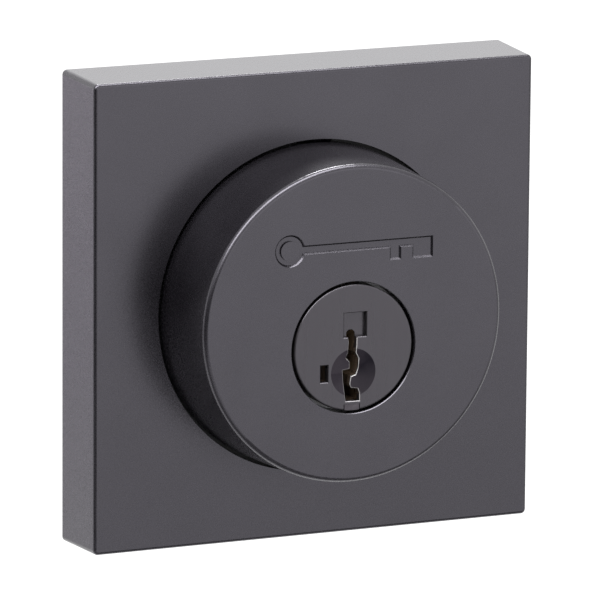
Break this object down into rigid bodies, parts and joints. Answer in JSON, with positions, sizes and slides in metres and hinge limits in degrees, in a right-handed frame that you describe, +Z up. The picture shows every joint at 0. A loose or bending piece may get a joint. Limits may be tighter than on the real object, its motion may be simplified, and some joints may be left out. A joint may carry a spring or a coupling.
{
  "type": "deadbolt door lock",
  "caption": "Exterior unit of a deadbolt door lock: square rose, tapered round collar, keyed cylinder whose plug turns a D-section tailpiece, and threaded posts for through-door screws.",
  "frame": {"origin": "centre of the square rose on the door's outer surface, which is the plane y = 0", "axes": "+Z up, +X to the right of a person facing the lock from outside, +Y into the door along the tailpiece"},
  "size_m": [0.0666, 0.0802, 0.0666],
  "materials": {
    "black_finish": "satin black-grey coat on cast zinc, fine orange-peel texture",
    "plug_metal": "satin black-grey plating with turned marks",
    "hardened_steel": "dark hardened steel",
    "zinc_casting": "bare zinc alloy casting, dull grey",
    "zinc_plated_steel": "bright zinc plate",
    "phosphated_steel": "black phosphate on spring steel",
    "spring_steel": "bare spring steel",
    "pin_brass": "turned brass",
    "seal_rubber": "closed-cell foam rubber"
  },
  "bodies": {
    "housing": {"rose_plate": "black_finish", "guard_collar": "black_finish", "collar_ring": "phosphated_steel", "rose_gasket": "seal_rubber", "chassis_plate": "zinc_plated_steel", "chassis_screws": "zinc_plated_steel", "mounting_post_left": "zinc_plated_steel", "mounting_post_right": "zinc_plated_steel", "cylinder_shell": "zinc_casting", "cylinder_screws": "zinc_plated_steel", "drill_guard_balls": "hardened_steel"},
    "plug": {"plug_body": "plug_metal", "plug_face_guards": "hardened_steel", "plug_face_insert": "hardened_steel", "plug_clip": "spring_steel", "tailpiece_clip": "spring_steel", "carrier_spring": "spring_steel", "pin_spring_1": "spring_steel", "pin_spring_2": "spring_steel", "pin_spring_3": "spring_steel", "pin_spring_4": "spring_steel", "pin_spring_5": "spring_steel"},
    "tailpiece": {"tailpiece_blade": "zinc_plated_steel", "tailpiece_cam": "zinc_casting"},
    "carrier": {"carrier": "zinc_casting", "sidebar_spring_1": "spring_steel", "sidebar_spring_2": "spring_steel"},
    "sidebar": {"sidebar": "hardened_steel"},
    "pin_1": {"key_pin_1": "pin_brass"},
    "rack_1": {"rack_1": "hardened_steel"},
    "pin_2": {"key_pin_2": "pin_brass"},
    "rack_2": {"rack_2": "hardened_steel"},
    "pin_3": {"key_pin_3": "pin_brass"},
    "rack_3": {"rack_3": "hardened_steel"},
    "pin_4": {"key_pin_4": "pin_brass"},
    "rack_4": {"rack_4": "hardened_steel"},
    "pin_5": {"key_pin_5": "pin_brass"},
    "rack_5": {"rack_5": "hardened_steel"}
  },
  "joints": [
    {"name": "plug_turn", "type": "hinge", "parent": "housing", "child": "plug", "pos_m": [0, -0.024, -0.00355], "axis": [0, 1, 0], "range_deg": [-90, 90]},
    {"name": "tailpiece_turn", "type": "hinge", "parent": "plug", "child": "tailpiece", "pos_m": [0, 0.0055, -0.00355], "axis": [0, 1, 0], "range_deg": [0, 90]},
    {"name": "carrier_slide", "type": "slide", "parent": "plug", "child": "carrier", "axis": [0, 1, 0], "range_m": [0, 0.0019], "stiffness_N_per_m": 200, "springref_m": -0.005, "deforming": ["carrier_spring"]},
    {"name": "sidebar_slide", "type": "slide", "parent": "carrier", "child": "sidebar", "axis": [-1, 0, 0], "range_m": [-0.0005, 0.0005], "deforming": ["sidebar_spring_1", "sidebar_spring_2"]},
    {"name": "pin_1_lift", "type": "slide", "parent": "plug", "child": "pin_1", "axis": [0, 0, 1], "range_m": [0, 0.0034], "stiffness_N_per_m": 60, "springref_m": -0.004, "deforming": ["pin_spring_1"]},
    {"name": "rack_1_lift", "type": "slide", "parent": "carrier", "child": "rack_1", "axis": [0, 0, 1], "range_m": [0, 0.0034]},
    {"name": "pin_2_lift", "type": "slide", "parent": "plug", "child": "pin_2", "axis": [0, 0, 1], "range_m": [0, 0.0034], "stiffness_N_per_m": 60, "springref_m": -0.004, "deforming": ["pin_spring_2"]},
    {"name": "rack_2_lift", "type": "slide", "parent": "carrier", "child": "rack_2", "axis": [0, 0, 1], "range_m": [0, 0.0034]},
    {"name": "pin_3_lift", "type": "slide", "parent": "plug", "child": "pin_3", "axis": [0, 0, 1], "range_m": [0, 0.0034], "stiffness_N_per_m": 60, "springref_m": -0.004, "deforming": ["pin_spring_3"]},
    {"name": "rack_3_lift", "type": "slide", "parent": "carrier", "child": "rack_3", "axis": [0, 0, 1], "range_m": [0, 0.0034]},
    {"name": "pin_4_lift", "type": "slide", "parent": "plug", "child": "pin_4", "axis": [0, 0, 1], "range_m": [0, 0.0034], "stiffness_N_per_m": 60, "springref_m": -0.004, "deforming": ["pin_spring_4"]},
    {"name": "rack_4_lift", "type": "slide", "parent": "carrier", "child": "rack_4", "axis": [0, 0, 1], "range_m": [0, 0.0034]},
    {"name": "pin_5_lift", "type": "slide", "parent": "plug", "child": "pin_5", "axis": [0, 0, 1], "range_m": [0, 0.0034], "stiffness_N_per_m": 60, "springref_m": -0.004, "deforming": ["pin_spring_5"]},
    {"name": "rack_5_lift", "type": "slide", "parent": "carrier", "child": "rack_5", "axis": [0, 0, 1], "range_m": [0, 0.0034]}
  ],
  "couplings": [
    {"joint": "rack_1_lift", "follows": "pin_1_lift", "ratio": 1},
    {"joint": "rack_2_lift", "follows": "pin_2_lift", "ratio": 1},
    {"joint": "rack_3_lift", "follows": "pin_3_lift", "ratio": 1},
    {"joint": "rack_4_lift", "follows": "pin_4_lift", "ratio": 1},
    {"joint": "rack_5_lift", "follows": "pin_5_lift", "ratio": 1}
  ]
}
